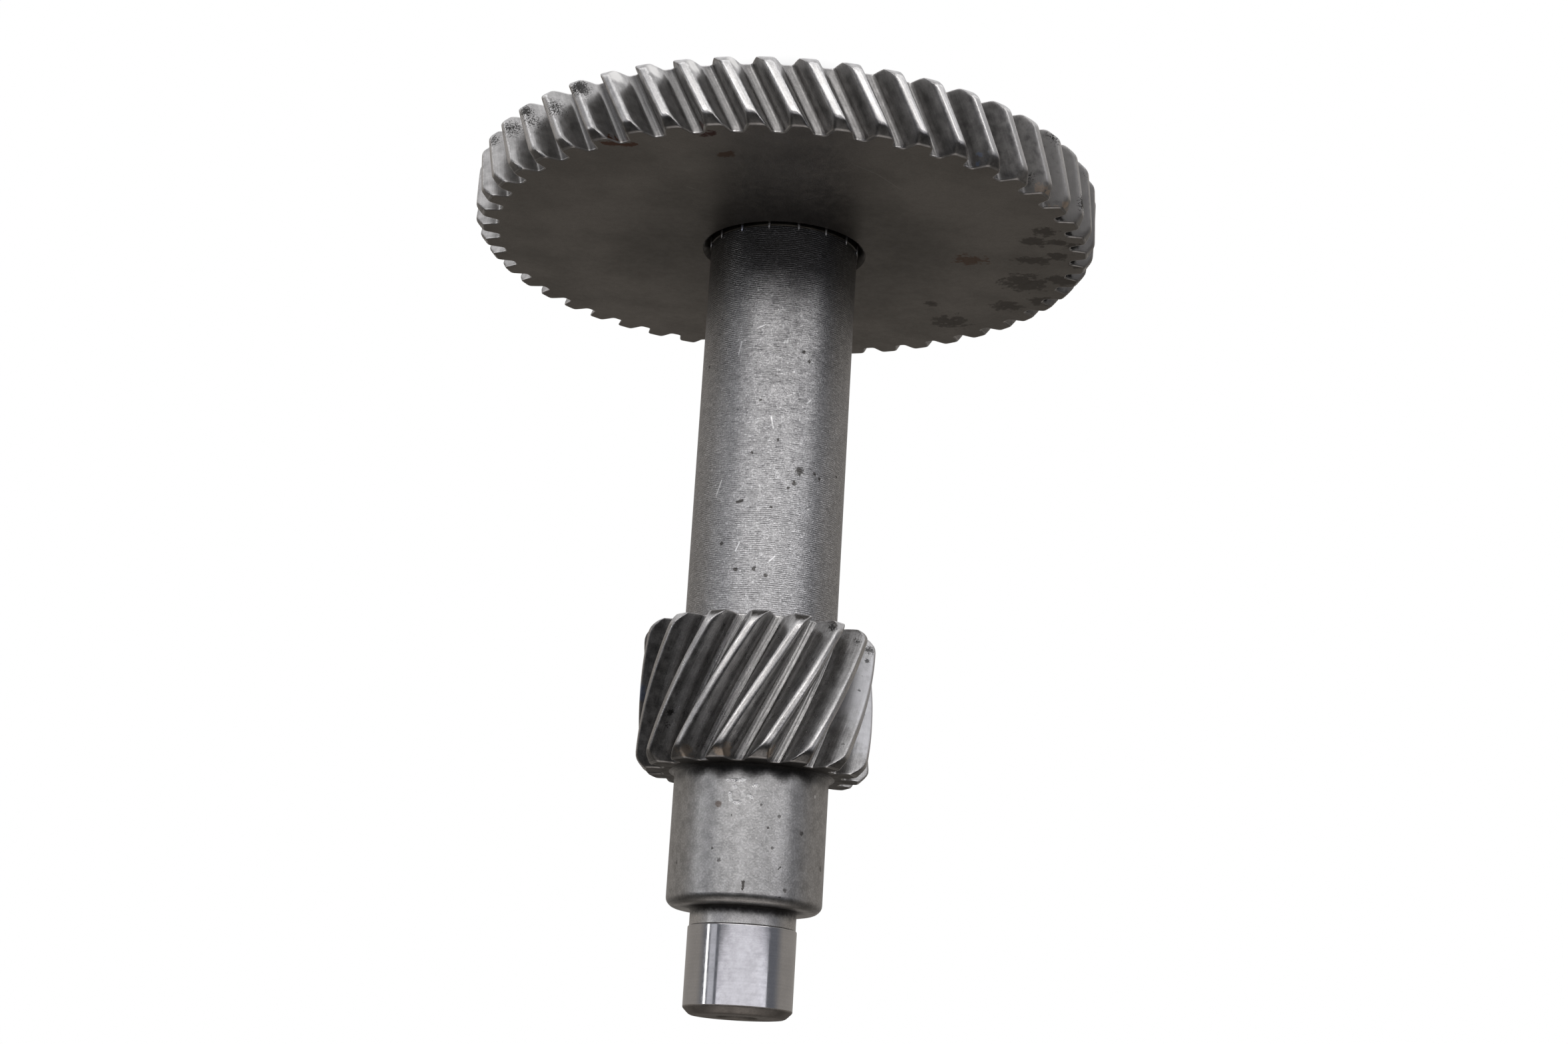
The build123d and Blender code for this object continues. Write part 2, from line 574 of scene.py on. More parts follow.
class Effects:
    """Node groups for what more than one finish shows. Lengths in them are in millimetres."""

    def build(self) -> None:
        """Build every group."""
        self.place()
        self.tool_lines()
        self.streaks()
        self.grain()
        self.pits()
        self.mark()
        self.corner_shade()
        self.tooth_grain()

    def place(self) -> None:
        """Point, distance from the axis, height, and angle in radians round the axis from the -Y side."""
        outputs = {"Point": "Vector", "Radius": "Float", "Height": "Float", "Angle": "Float"}
        tree, _, result = new_group("place", {}, outputs)
        point = tree.vector("SCALE", tree.add("TexCoord").outputs["Object"], 1 / MM)
        x, y, z = tree.add("SeparateXYZ", {0: point}).outputs
        radius = tree.vector("LENGTH", tree.add("CombineXYZ", {0: x, 1: y}).outputs[0])
        front = tree.sum("MULTIPLY", y, -1.0)
        for label, value in zip(outputs, (point, radius, z, tree.sum("ARCTAN2", x, front))):
            tree.join(value, result[label])

    def tool_lines(self) -> None:
        """Ridges that a turning tool or a grinding wheel leaves, as a height."""
        inputs = {"Point": ORIGIN, "Along": 0.0, "Pitch": 0.33, "Depth": 0.004}
        tree, given, result = new_group("tool_lines", inputs, {"Height": "Float"})
        slow = tree.noise(given["Point"], 0.35, 3.0)
        phase = tree.sum("ADD", tree.sum("DIVIDE", given["Along"], given["Pitch"]), slow)
        wave = tree.sum("SINE", tree.sum("MULTIPLY", phase, 2 * math.pi))
        patches = tree.ramp(tree.noise(given["Point"], 0.7, 4.0), 0.35, 0.6)
        strength = tree.sum("MULTIPLY", given["Depth"], patches)
        tree.join(tree.sum("MULTIPLY", wave, strength), result["Height"])

    def streaks(self) -> None:
        """Short uneven scores that follow the turning, as a value round 0.5."""
        inputs = {"Point": ORIGIN, "Width": 0.15, "Length": 1.0}
        tree, given, result = new_group("streaks", inputs, {"Value": "Float"})
        flat = tree.sum("DIVIDE", 1.0, given["Length"])
        tall = tree.sum("DIVIDE", 1.0, given["Width"])
        scale = tree.add("CombineXYZ", {0: flat, 1: flat, 2: tall}).outputs[0]
        noise = tree.noise(tree.vector("MULTIPLY", given["Point"], scale), 1.0, 3.0, 0.65)
        tree.join(noise, result["Value"])

    def grain(self) -> None:
        """Random grain of the surface, as a value round 0.5."""
        inputs = {"Point": ORIGIN, "Size": 0.3}
        tree, given, result = new_group("grain", inputs, {"Value": "Float"})
        scale = tree.sum("DIVIDE", 1.0, given["Size"])
        tree.join(tree.noise(given["Point"], scale, 3.0), result["Value"])

    def pits(self) -> None:
        """Mask of small scattered pits and flecks, of uneven size and shape."""
        inputs = {"Point": ORIGIN, "Spacing": 4.0, "Size": 0.3, "Share": 0.5}
        tree, given, result = new_group("pits", inputs, {"Mask": "Float"})
        wobble = tree.add("TexNoise", {"Vector": given["Point"], "Scale": 2.2, "Detail": 3.0}).outputs[1]
        moved = tree.vector("ADD", wobble, given["Point"])
        scale = tree.sum("DIVIDE", 1.0, given["Spacing"])
        cells = tree.add("TexVoronoi", {"Vector": moved, "Scale": scale}).outputs
        chance = tree.add("SeparateColor", {0: cells["Color"]}).outputs
        there = tree.sum("LESS_THAN", chance[0], given["Share"])
        share = tree.sum("DIVIDE", given["Size"], given["Spacing"])
        width = tree.sum("MULTIPLY", share, tree.sum("MULTIPLY_ADD", chance[1], 0.9, 0.3))
        near = tree.sum("DIVIDE", cells["Distance"], width)
        tree.join(tree.sum("MULTIPLY", there, tree.ramp(near, 1.15, 0.75)), result["Mask"])

    def mark(self) -> None:
        """Mask of one ragged mark that runs from one point to another, or lies round a single point."""
        inputs = {"Point": ORIGIN, "From": ORIGIN, "To": ORIGIN,
                  "Size": 1.0, "Noise": 0.5, "Rag": 1.0}
        tree, given, result = new_group("mark", inputs, {"Mask": "Float"})
        away = tree.vector("SUBTRACT", given["Point"], given["From"])
        run = tree.vector("SUBTRACT", given["To"], given["From"])
        along, length = tree.vector("DOT_PRODUCT", away, run), tree.vector("DOT_PRODUCT", run, run)
        share = tree.sum("DIVIDE", along, length, clamp=True)
        gap = tree.vector("DISTANCE", away, tree.vector("SCALE", run, share))
        uneven = tree.sum("MULTIPLY", tree.sum("SUBTRACT", given["Noise"], 0.5), given["Rag"])
        reach = tree.sum("ADD", tree.sum("DIVIDE", gap, given["Size"]), uneven)
        tree.join(tree.ramp(reach, 1.25, 0.6), result["Mask"])

    def corner_shade(self) -> None:
        """Mask of painted shade in an inner corner, with one lobe for the shadow of each tooth above it."""
        inputs = {"Point": ORIGIN, "Away": 0.0, "Angle": 0.0, "Lobes": 16.0, "Lobe": 0.0,
                  "Reach": 1.0, "Spread": 9.0}
        tree, given, result = new_group("corner_shade", inputs, {"Mask": "Float"})
        wave = tree.sum("COSINE", tree.sum("MULTIPLY", given["Angle"], given["Lobes"]))
        reach = tree.sum("MULTIPLY_ADD", wave, given["Lobe"], given["Reach"])
        noise = tree.sum("SUBTRACT", tree.noise(given["Point"], 1.5, 3.0), 0.5)
        uneven = tree.sum("MULTIPLY_ADD", noise, 0.8, given["Away"])
        share = tree.sum("DIVIDE", uneven, reach)
        side = tree.sum("DIVIDE", tree.sum("ABSOLUTE", given["Angle"]), given["Spread"])
        mask = tree.sum("MULTIPLY", tree.ramp(share, 1.7, 0.3), tree.ramp(side, 1.0, 0.4))
        tree.join(mask, result["Mask"])

    def tooth_grain(self) -> None:
        """Scores that run along helical teeth, as a value round 0.5, and hob lines, as a wave."""
        inputs = {"Radius": 0.0, "Height": 0.0, "Angle": 0.0, "Teeth": 16.0, "Twist": 0.0}
        tree, given, result = new_group("tooth_grain", inputs, {"Streaks": "Float", "Lines": "Float"})
        lean = tree.sum("MULTIPLY", given["Height"], given["Twist"])
        turn = tree.sum("SUBTRACT", given["Angle"], lean)
        phase = tree.sum("MULTIPLY", turn, given["Teeth"])
        stretched = ((phase, 3.0), (given["Height"], 0.2), (given["Radius"], 3.0))
        parts = {place: tree.sum("MULTIPLY", *pair) for place, pair in enumerate(stretched)}
        noise = tree.noise(tree.add("CombineXYZ", parts).outputs[0], 1.3, 4.0, 0.6)
        tree.join(noise, result["Streaks"])
        uneven = tree.sum("MULTIPLY_ADD", phase, HOB_LINES, tree.sum("MULTIPLY", noise, 5.0))
        tree.join(tree.sum("SINE", uneven), result["Lines"])


def place_group(tree: Tree, name: str, inputs: dict[str, Any] | None = None) -> Any:
    """Place one of the shared effects in a material.

    Args:
        tree: the material's tree.
        name: the effect's name.
        inputs: what feeds its inputs.

    Returns:
        The outputs of the placed group.
    """
    node = tree.tree.nodes.new("ShaderNodeGroup")
    node.node_tree = bpy.data.node_groups[name]
    tree.feed(node, inputs or {})
    return node.outputs


def spot(angle: float, radius: float, height: float) -> Place:
    """Point at an angle in degrees round the axis, a distance from it and a height."""
    turn = math.radians(angle)
    return radius * math.cos(turn), radius * math.sin(turn), height


@dataclass(frozen=True)
class Mark:
    """One pit, stain, rust spot, patch or scratch, or a painted glint or painted shade. Lengths are in
    millimetres.

    Attributes:
        start: where it begins, or the point that it lies round.
        size: its half width.
        colour: its colour.
        end: where it ends, if it is drawn out.
        rag: how ragged its outline is.
        depth: how far it is sunk.
        strength: how much of the clean metal it hides.
        rough: what it adds to the roughness.
        flecked: whether it breaks up into small flecks.
    """

    start: Place
    size: float
    colour: Colour
    end: Place | None = None
    rag: float = 1.6
    depth: float = 0.0
    strength: float = 0.9
    rough: float = 0.0
    flecked: bool = False

    def mask(self, tree: Tree, point: Any, noise: Any, fine: Any) -> Any:
        """Place the mark's mask in a material.

        Args:
            tree: the material's tree.
            point: socket of the point in millimetres.
            noise: socket of the noise that makes most marks ragged.
            fine: socket of the finer noise for flecked marks.

        Returns:
            The mask's socket.
        """
        mask = place_group(tree, "mark", {
            "Point": point, "From": self.start, "To": self.end or self.start, "Size": self.size,
            "Noise": fine if self.flecked else noise, "Rag": self.rag,
        })["Mask"]
        return tree.sum("MULTIPLY", mask, self.strength)


@dataclass(frozen=True)
class SteelFinish:
    """Finish of one stretch of bare steel. Colours are linear, and lengths in millimetres.

    Attributes:
        name: the material's name.
        colour: first colour of the mottled metal.
        dull: second colour of the mottled metal.
        roughness: middle of the roughness.
        roughness_spread: how far the roughness strays from its middle.
        mottle_size: size of the mottled patches.
        along: direction across which tool lines follow each other.
        line_pitch: distance from one tool line to the next.
        line_depth: depth of the tool lines.
        streak_width: width of the scores.
        streak_length: length of the scores.
        streak_depth: depth of the scores.
        grain_size: size of the grain.
        grain_depth: depth of the grain.
        contrast: how far grain and scores lighten and darken the metal.
        painted_highlight: how bright the glints painted into its colour are.
        pit_spacing: distance between scattered pits.
        pit_size: half width of a scattered pit.
        pit_share: share of the places that hold a pit.
        corner: radius and height of an inner corner towards which the metal is darkened with painted shade.
        corner_reach: how far the painted shade reaches from the corner.
        corner_lobe: how much further it reaches under each tooth.
        corner_strength: how dark the painted shade is.
        corner_rough: what the shaded corner adds to the roughness.
        corner_spread: angle in radians, from the camera's side, at which the painted shade ends.
        marks: the marks that have a place of their own.
    """

    name: str
    colour: Colour
    dull: Colour
    roughness: float
    roughness_spread: float = 0.06
    mottle_size: float = 2.0
    along: Along = Along.HEIGHT
    line_pitch: float = 0.33
    line_depth: float = 0.0
    streak_width: float = 0.15
    streak_length: float = 1.0
    streak_depth: float = 0.0
    grain_size: float = 0.25
    grain_depth: float = 0.0
    contrast: float = 0.0
    painted_highlight: float = 0.0
    pit_spacing: float = 5.0
    pit_size: float = 0.25
    pit_share: float = 0.0
    corner: Point | None = None
    corner_reach: float = 1.0
    corner_lobe: float = 0.0
    corner_strength: float = 0.9
    corner_rough: float = 0.0
    corner_spread: float = 9.0
    marks: tuple[Mark, ...] = ()

    def relief(self, tree: Tree, place: Any) -> tuple[Any, Any]:
        """Fine relief of the surface.

        Args:
            tree: the material's tree.
            place: the outputs of the place group.

        Returns:
            The height, and the light and dark that goes with it, as a factor round 1.
        """
        point = place["Point"]
        grain = place_group(tree, "grain", {"Point": point, "Size": self.grain_size})["Value"]
        height = tree.sum("MULTIPLY", grain, self.grain_depth)
        shade = grain
        if self.streak_depth:
            streaks = place_group(tree, "streaks", {
                "Point": point, "Width": self.streak_width, "Length": self.streak_length,
            })["Value"]
            height = tree.sum("MULTIPLY_ADD", streaks, self.streak_depth, height)
            shade = tree.sum("MULTIPLY", tree.sum("ADD", grain, streaks), 0.5)
        if self.line_depth:
            lines = place_group(tree, "tool_lines", {
                "Point": point, "Along": place[self.along.value], "Pitch": self.line_pitch,
                "Depth": self.line_depth,
            })["Height"]
            height = tree.sum("ADD", lines, height)
        return height, tree.ramp(shade, 0.3, 0.7, 1 - self.contrast, 1 + self.contrast)

    def base(self, tree: Tree, place: Any) -> Any:
        """Mottled colour of the clean metal, at the place group's outputs."""
        patches = tree.noise(place["Point"], 1 / self.mottle_size, 5.0)
        return tree.blend(tree.ramp(patches, 0.35, 0.68), self.colour, self.dull)

    def dress(self, tree: Tree, place: Any) -> tuple[Any, Any, Any]:
        """Colour, roughness and height of the surface with its marks, painted glints and painted corner
        shade.

        Args:
            tree: the material's tree.
            place: the outputs of the place group.

        Returns:
            The three sockets.
        """
        point = place["Point"]
        height, shade = self.relief(tree, place)
        colour = tree.vector("SCALE", self.base(tree, place), shade)
        # Painted highlight: the colour is lightened to bright glints where the grain is lightest
        if self.painted_highlight:
            highlight_mask = tree.ramp(shade, 1 + self.contrast * 0.45, 1 + self.contrast * 0.75, 0.0, self.painted_highlight)
            colour = tree.blend(highlight_mask, colour, BRIGHT)
        noise, fine = tree.noise(point, 0.9, 6.0), tree.noise(point, 4.0, 5.0, 0.6)
        smoothest, roughest = self.roughness - self.roughness_spread, self.roughness + self.roughness_spread
        rough = tree.ramp(noise, 0.3, 0.7, smoothest, roughest)
        if self.pit_share:
            mask = place_group(tree, "pits", {
                "Point": point, "Spacing": self.pit_spacing, "Size": self.pit_size, "Share": self.pit_share,
            })["Mask"]
            colour = tree.blend(tree.sum("MULTIPLY", mask, 0.85), colour, PIT)
            height = tree.sum("MULTIPLY_ADD", mask, -PIT_DEPTH, height)
        # Painted shade: the colour darkens towards an inner corner, where shadows and dark reflections fall
        if self.corner is not None:
            section = tree.add("CombineXYZ", {0: place["Radius"], 1: place["Height"]}).outputs[0]
            mask = place_group(tree, "corner_shade", {
                "Point": point, "Away": tree.vector("DISTANCE", section, (*self.corner, 0.0)),
                "Angle": place["Angle"], "Lobe": self.corner_lobe, "Reach": self.corner_reach,
                "Spread": self.corner_spread,
            })["Mask"]
            colour = tree.blend(tree.sum("MULTIPLY", mask, self.corner_strength), colour, BLACK)
            rough = tree.sum("MULTIPLY_ADD", mask, self.corner_rough, rough)
        for mark in self.marks:
            mask = mark.mask(tree, point, noise, fine)
            colour = tree.blend(mask, colour, mark.colour)
            height = tree.sum("MULTIPLY_ADD", mask, -mark.depth, height)
            if mark.rough:
                rough = tree.sum("MULTIPLY_ADD", mask, mark.rough, rough)
        return colour, rough, height

    def material(self) -> bpy.types.Material:
        """Build the finish.

        Returns:
            The material.
        """
        material = bpy.data.materials.new(self.name)
        material.use_nodes = True
        tree = Tree(material.node_tree)
        place = place_group(tree, "place")
        colour, rough, height = self.dress(tree, place)
        bump = tree.add("Bump", {"Height": height, "Distance": MM, "Strength": 1.0}).outputs[0]
        shader = material.node_tree.nodes["Principled BSDF"]
        tree.feed(shader, {"Base Color": colour, "Roughness": rough, "Normal": bump, "Metallic": 1.0})
        return material


@dataclass(frozen=True)
class ToothFinish(SteelFinish):
    """Finish of cut teeth: dark flanks, bright worn lands, and roots with the hob's lines.

    Attributes:
        form: the teeth.
        land_colour: colour of the lands.
        root_colour: colour of the roots.
        score_depth: depth of the scores that run along the teeth.
        hob_depth: depth of the hob's lines.
        hob_edge: distances above the root's radius where the hob's lines end and where they are full.
        land_edge: distances above the tip radius, with the noise's own, where the land's colour starts
            and where it is full.
        root_edge: distances above the root's radius where the root's colour ends and where it is full.
    """

    form: ToothForm = field(kw_only=True)
    land_colour: Colour = (0.62, 0.61, 0.6)
    root_colour: Colour = (0.27, 0.265, 0.26)
    score_depth: float = 0.02
    hob_depth: float = 0.016
    hob_edge: Point = (0.7, 0.3)
    land_edge: Point = (-0.05, 0.12)
    root_edge: Point = (0.45, 0.2)

    def near(self, tree: Tree, radius: Any, middle: float, edge: Point) -> Any:
        """Mask that changes over a band of radii, whose two sides are given from a middle radius."""
        return tree.ramp(radius, middle + edge[0], middle + edge[1])

    def relief(self, tree: Tree, place: Any) -> tuple[Any, Any]:
        """Fine relief, with scores along the teeth and the hob's lines in the roots.

        Args:
            tree: the material's tree.
            place: the outputs of the place group.

        Returns:
            The height, and the light and dark that goes with it, as a factor round 1.
        """
        height, shade = super().relief(tree, place)
        given = place_group(tree, "tooth_grain", {
            "Radius": place["Radius"], "Height": place["Height"], "Angle": place["Angle"],
            "Teeth": float(self.form.teeth), "Twist": self.form.twist_rate,
        })
        height = tree.sum("MULTIPLY_ADD", given["Streaks"], self.score_depth, height)
        root = self.near(tree, place["Radius"], self.form.root_radius, self.hob_edge)
        lines = tree.sum("MULTIPLY", given["Lines"], tree.sum("MULTIPLY", root, self.hob_depth))
        streaks = tree.ramp(given["Streaks"], 0.3, 0.7, 1 - self.contrast, 1 + self.contrast)
        return tree.sum("ADD", height, lines), tree.sum("MULTIPLY", shade, streaks)

    def base(self, tree: Tree, place: Any) -> Any:
        """Mottled colour of the flanks, with brighter lands and roots.

        Args:
            tree: the material's tree.
            place: the outputs of the place group.

        Returns:
            The colour's socket.
        """
        radius = tree.sum("MULTIPLY_ADD", tree.noise(place["Point"], 1.6, 3.0), 0.3, place["Radius"])
        land = self.near(tree, radius, self.form.tip_radius, self.land_edge)
        root = self.near(tree, radius, self.form.root_radius, self.root_edge)
        colour = tree.blend(land, super().base(tree, place), self.land_colour)
        return tree.blend(root, colour, self.root_colour)


@dataclass(frozen=True)
class ToothTrim:
    """Chamfers and soft edges of a toothed stretch, in millimetres.

    Attributes:
        lower_height: height of the chamfer at the lower end of the teeth.
        upper_height: height of the chamfer at the upper end.
        lower_depth: how far the lower chamfer reaches inwards.
        upper_depth: how far the upper chamfer reaches inwards.
        tip_soft: rounding where a chamfer meets the lands.
        steps: number of rows of faces along the lands.
        zones: zones of the teeth, of the broken edges and of the end faces.
        end_soft: size of the broken edge between the teeth and their end faces.
        face_inset: how much further an end face starts from the teeth's outline than that edge.
    """

    lower_height: float
    upper_height: float
    lower_depth: float
    upper_depth: float
    tip_soft: float
    steps: int
    zones: tuple[int, int, int]
    end_soft: float = 0.25
    face_inset: float = 0.12

    def broken_edge(self, reach: float, rise: float, height: float, inwards: int) -> list[Corner]:
        """Edge between an end face and the teeth that rise from it.

        Args:
            reach: radius to which the teeth stand at the end face.
            rise: how much further they stand for each millimetre from it.
            height: the end face's height.
            inwards: 1 at the lower face, -1 at the upper one.

        Returns:
            The corners, from the end face on.
        """
        _, edge, face = self.zones
        found = [Corner(reach, height, face, toothed=True, inset=self.end_soft + self.face_inset)]
        for step in range(ARC_STEPS + 1):
            share = step / ARC_STEPS
            up = self.end_soft * share ** 2
            inset = self.end_soft * (1 - share) ** 2
            found.append(Corner(reach + up * rise, height + inwards * up, edge, toothed=True, inset=inset))
        return found

    def rows(self, form: ToothForm) -> list[Corner]:
        """Corners of the toothed stretch.

        Args:
            form: the teeth.

        Returns:
            The corners in order, from the lower face to the upper one.
        """
        tooth, _, face = self.zones
        tip = form.tip_radius
        lower_rise, upper_rise = self.lower_depth / self.lower_height, self.upper_depth / self.upper_height
        lower = self.broken_edge(tip - self.lower_depth, lower_rise, form.bottom, 1)
        upper = self.broken_edge(tip - self.upper_depth, upper_rise, form.top, -1)
        lower[-1] = replace(lower[-1], zone=tooth)
        upper[1] = replace(upper[1], zone=face)
        land = Corner(tip, form.bottom + self.lower_height, tooth, soft=self.tip_soft, toothed=True)
        far = replace(land, height=form.top - self.upper_height)
        return [*lower, replace(land, steps=self.steps), far, *reversed(upper)]


@dataclass
class PinionShaft:
    """Turned shaft with its journals, centre holes and helical pinion.

    Lengths are in millimetres. A name with soft says how far the rounding of a corner reaches, line_up is
    the height in which the points of a plain row come into line with the teeth, and ridge_drop is how far
    the middle of a ridge's end lies below the top of the seat.
    """

    journal_radius: float = 8.5
    journal_chamfer: float = 1.1
    journal_length: float = 13.4
    relief_radius: float = 8.3
    relief_width: float = 2.9
    relief_fillet: float = 0.6
    body_radius: float = 12.2
    body_chamfer: float = 0.9
    seat_radius: float = 12.36
    seat_bottom: float = 26.6
    seat_top: float = 28.5
    pinion_bottom: float = 93.95
    pinion_top: float = 116.95
    neck_fillet: float = 0.9
    lower_chamfer: float = 1.3
    upper_chamfer: float = 1.6
    line_up: float = 0.3
    total_length: float = 154.4
    centre_mouth: float = 3.35
    centre_pilot: float = 1.575
    centre_depth: float = 7.0
    cone_depth: float = 3.07
    point_depth: float = 0.95
    relief_step: float = 0.2
    mouth_soft: float = 0.12
    end_soft: float = 0.5
    journal_soft: float = 0.2
    step_soft: float = 0.1
    shoulder_soft: float = 0.55
    tip_soft: float = 0.9
    ridges: int = 16
    ridge_turn: float = -55.0
    ridge_size: Place = (0.2, 0.24, 1.2)
    ridge_drop: float = 0.6

    BODY, NECK, JOURNAL, RELIEF, END, TOOTH, EDGE, FACE, SEAT = range(9)
    FINISHES = ("body", "neck", "journal", "relief", "end", "pinion_tooth", "edge", "shaded_pinion_face", "fit")

    @property
    def form(self) -> ToothForm:
        """The pinion's teeth."""
        return ToothForm(
            teeth=16, hand=Hand.RIGHT, shift=0.28, addendum=2.3, dedendum=1.8, fillet=0.55, tip_round=0.34,
            bottom=self.pinion_bottom, top=self.pinion_top, turn=0.3,
        )

    def end(self, body: int) -> list[Corner]:
        """Half section of one end, from the centre hole to the body.

        Args:
            body: zone of the body beyond the shoulder.

        Returns:
            The corners, each with its depth from the end face as its height.
        """
        shoulder = self.journal_length + self.relief_width
        return [
            Corner(0, self.centre_depth + self.point_depth, self.END),
            Corner(self.centre_pilot, self.centre_depth, self.END),
            Corner(self.centre_pilot, self.cone_depth, self.END),
            Corner(self.centre_mouth, 0, self.END, soft=self.mouth_soft),
            Corner(self.journal_radius - self.journal_chamfer, 0, self.END, soft=self.end_soft),
            Corner(self.journal_radius, self.journal_chamfer, self.JOURNAL, soft=self.journal_soft),
            Corner(self.journal_radius, self.journal_length, self.RELIEF, soft=self.step_soft),
            Corner(self.relief_radius, self.journal_length + self.relief_step, self.RELIEF),
            Corner(self.relief_radius, shoulder, self.RELIEF, soft=self.relief_fillet),
            Corner(self.body_radius - self.body_chamfer, shoulder, body, soft=self.shoulder_soft),
            Corner(self.body_radius, shoulder + self.body_chamfer, body, soft=self.shoulder_soft),
        ]

    def seat(self) -> list[Corner]:
        """Slightly thicker stretch in the gear's bore, whose end shows at the mouth.

        Returns:
            The corners, from below.
        """
        step = self.seat_radius - self.body_radius
        return [
            Corner(self.body_radius, self.seat_bottom, self.BODY),
            Corner(self.seat_radius, self.seat_bottom + step, self.SEAT),
            Corner(self.seat_radius, self.seat_top - step, self.SEAT),
            Corner(self.body_radius, self.seat_top, self.BODY),
        ]

    def section(self) -> list[Corner]:
        """Turned section of the whole shaft.

        Returns:
            The corners, from the pole of the lower centre hole to the pole of the upper one.
        """
        ends = [replace(c, height=self.total_length - c.height) for c in reversed(self.end(self.NECK))]
        upper = [replace(c, zone=following.zone) for c, following in zip(ends, [*ends[1:], ends[-1]])]
        trim = ToothTrim(
            lower_height=self.lower_chamfer, upper_height=self.upper_chamfer,
            lower_depth=self.lower_chamfer, upper_depth=self.upper_chamfer,
            tip_soft=self.tip_soft, steps=24, zones=(self.TOOTH, self.EDGE, self.FACE),
        )
        return [
            *self.end(self.BODY),
            *self.seat(),
            Corner(self.body_radius, self.pinion_bottom - self.line_up, self.FACE),
            Corner(self.body_radius, self.pinion_bottom, self.FACE, in_line=True),
            *trim.rows(self.form),
            Corner(self.body_radius, self.pinion_top, self.NECK, soft=self.neck_fillet, in_line=True),
            Corner(self.body_radius, self.pinion_top + self.neck_fillet + self.line_up, self.NECK),
            *upper,
        ]

    def build(self, finishes: dict[str, bpy.types.Material]) -> list[Dressed]:
        """Model the shaft and the ends of the ridges that hold the gear.

        Args:
            finishes: the materials by place.

        Returns:
            The shaft and the ridge ends, each with the CAD node that it stands for and its slot.
        """
        shaft = toothed_piece("pinion_shaft_steel", self.form, self.section())
        for place in self.FINISHES:
            shaft.data.materials.append(finishes[place])
        ridges = self.ridge_ends(finishes["relief"])
        return [(shaft, "pinion_shaft", "shaft_steel"), (ridges, None, "shaft_steel")]

    def ridge_ends(self, finish: bpy.types.Material) -> bpy.types.Object:
        """Model the rounded ends of the ridges, at the mouth of the gear's bore.

        Args:
            finish: the ridges' material.

        Returns:
            All the ends, as one object.
        """
        start_clean()
        parts = []
        for ridge in range(self.ridges):
            angle = math.radians(self.ridge_turn + 360 * ridge / self.ridges)
            centre = Vector((math.cos(angle), math.sin(angle), 0)) * self.seat_radius
            centre.z = self.seat_top - self.ridge_drop
            bpy.ops.mesh.primitive_uv_sphere_add(
                segments=12, ring_count=8, radius=MM, location=centre * MM, rotation=(0, 0, angle),
                scale=self.ridge_size,
            )
            parts.append(bpy.context.active_object)
        for part in parts:
            part.select_set(True)
        bpy.ops.object.join()
        bpy.ops.object.transform_apply(location=True, rotation=True, scale=True)
        bpy.ops.object.shade_smooth()
        piece = bpy.context.active_object
        piece.name = piece.data.name = "ridge_ends"
        piece.data.materials.append(finish)
        return piece


@dataclass
class LargeGear:
    """Flat helical gear pressed on the shaft, in millimetres. face_rim is where the flat of a face ends."""

    bore_radius: float = PinionShaft.body_radius
    bore_chamfer: float = 1.3
    bottom: float = 17.2
    top: float = 28.35
    chamfer_depth: float = 1.25
    lower_chamfer: float = 1.15
    upper_chamfer: float = 1.55
    face_rim: float = 46.3
    mouth_soft: float = 0.15
    tip_soft: float = 0.5

    TOOTH, EDGE, FACE, BORE = range(4)
    FINISHES = ("gear_tooth", "edge", "gear_face", "fit")

    @property
    def form(self) -> ToothForm:
        """The gear's teeth."""
        return ToothForm(
            teeth=49, hand=Hand.LEFT, shift=0.0, addendum=1.8, dedendum=2.0, fillet=0.58, tip_round=0.5,
            bottom=self.bottom, top=self.top, turn=3.44, root_steps=2, flank_steps=6,
        )

    def section(self) -> list[Corner]:
        """Closed section of the gear.

        Returns:
            The corners, from the bottom of the bore out, up over the teeth and back down the bore.
        """
        mouth = self.bore_radius + self.bore_chamfer
        trim = ToothTrim(
            lower_height=self.lower_chamfer, upper_height=self.upper_chamfer,
            lower_depth=self.chamfer_depth, upper_depth=self.chamfer_depth,
            tip_soft=self.tip_soft, steps=9, zones=(self.TOOTH, self.EDGE, self.FACE),
        )
        return [
            Corner(self.bore_radius, self.bottom + self.bore_chamfer, self.BORE),
            Corner(mouth, self.bottom, self.FACE, soft=self.mouth_soft),
            Corner(self.face_rim, self.bottom, self.FACE),
            *trim.rows(self.form),
            Corner(self.face_rim, self.top, self.FACE),
            Corner(mouth, self.top, self.BORE, soft=self.mouth_soft),
            Corner(self.bore_radius, self.top - self.bore_chamfer, self.BORE),
            Corner(self.bore_radius, self.bottom + self.bore_chamfer, self.BORE),
        ]

    def build(self, finishes: dict[str, bpy.types.Material]) -> list[Dressed]:
        """Model the gear.

        Args:
            finishes: the materials by place.

        Returns:
            The gear, with the CAD node that it stands for and its slot.
        """
        gear = toothed_piece("large_gear_steel", self.form, self.section())
        for place in self.FINISHES:
            gear.data.materials.append(finishes[place])
        return [(gear, "large_gear", "gear_steel")]


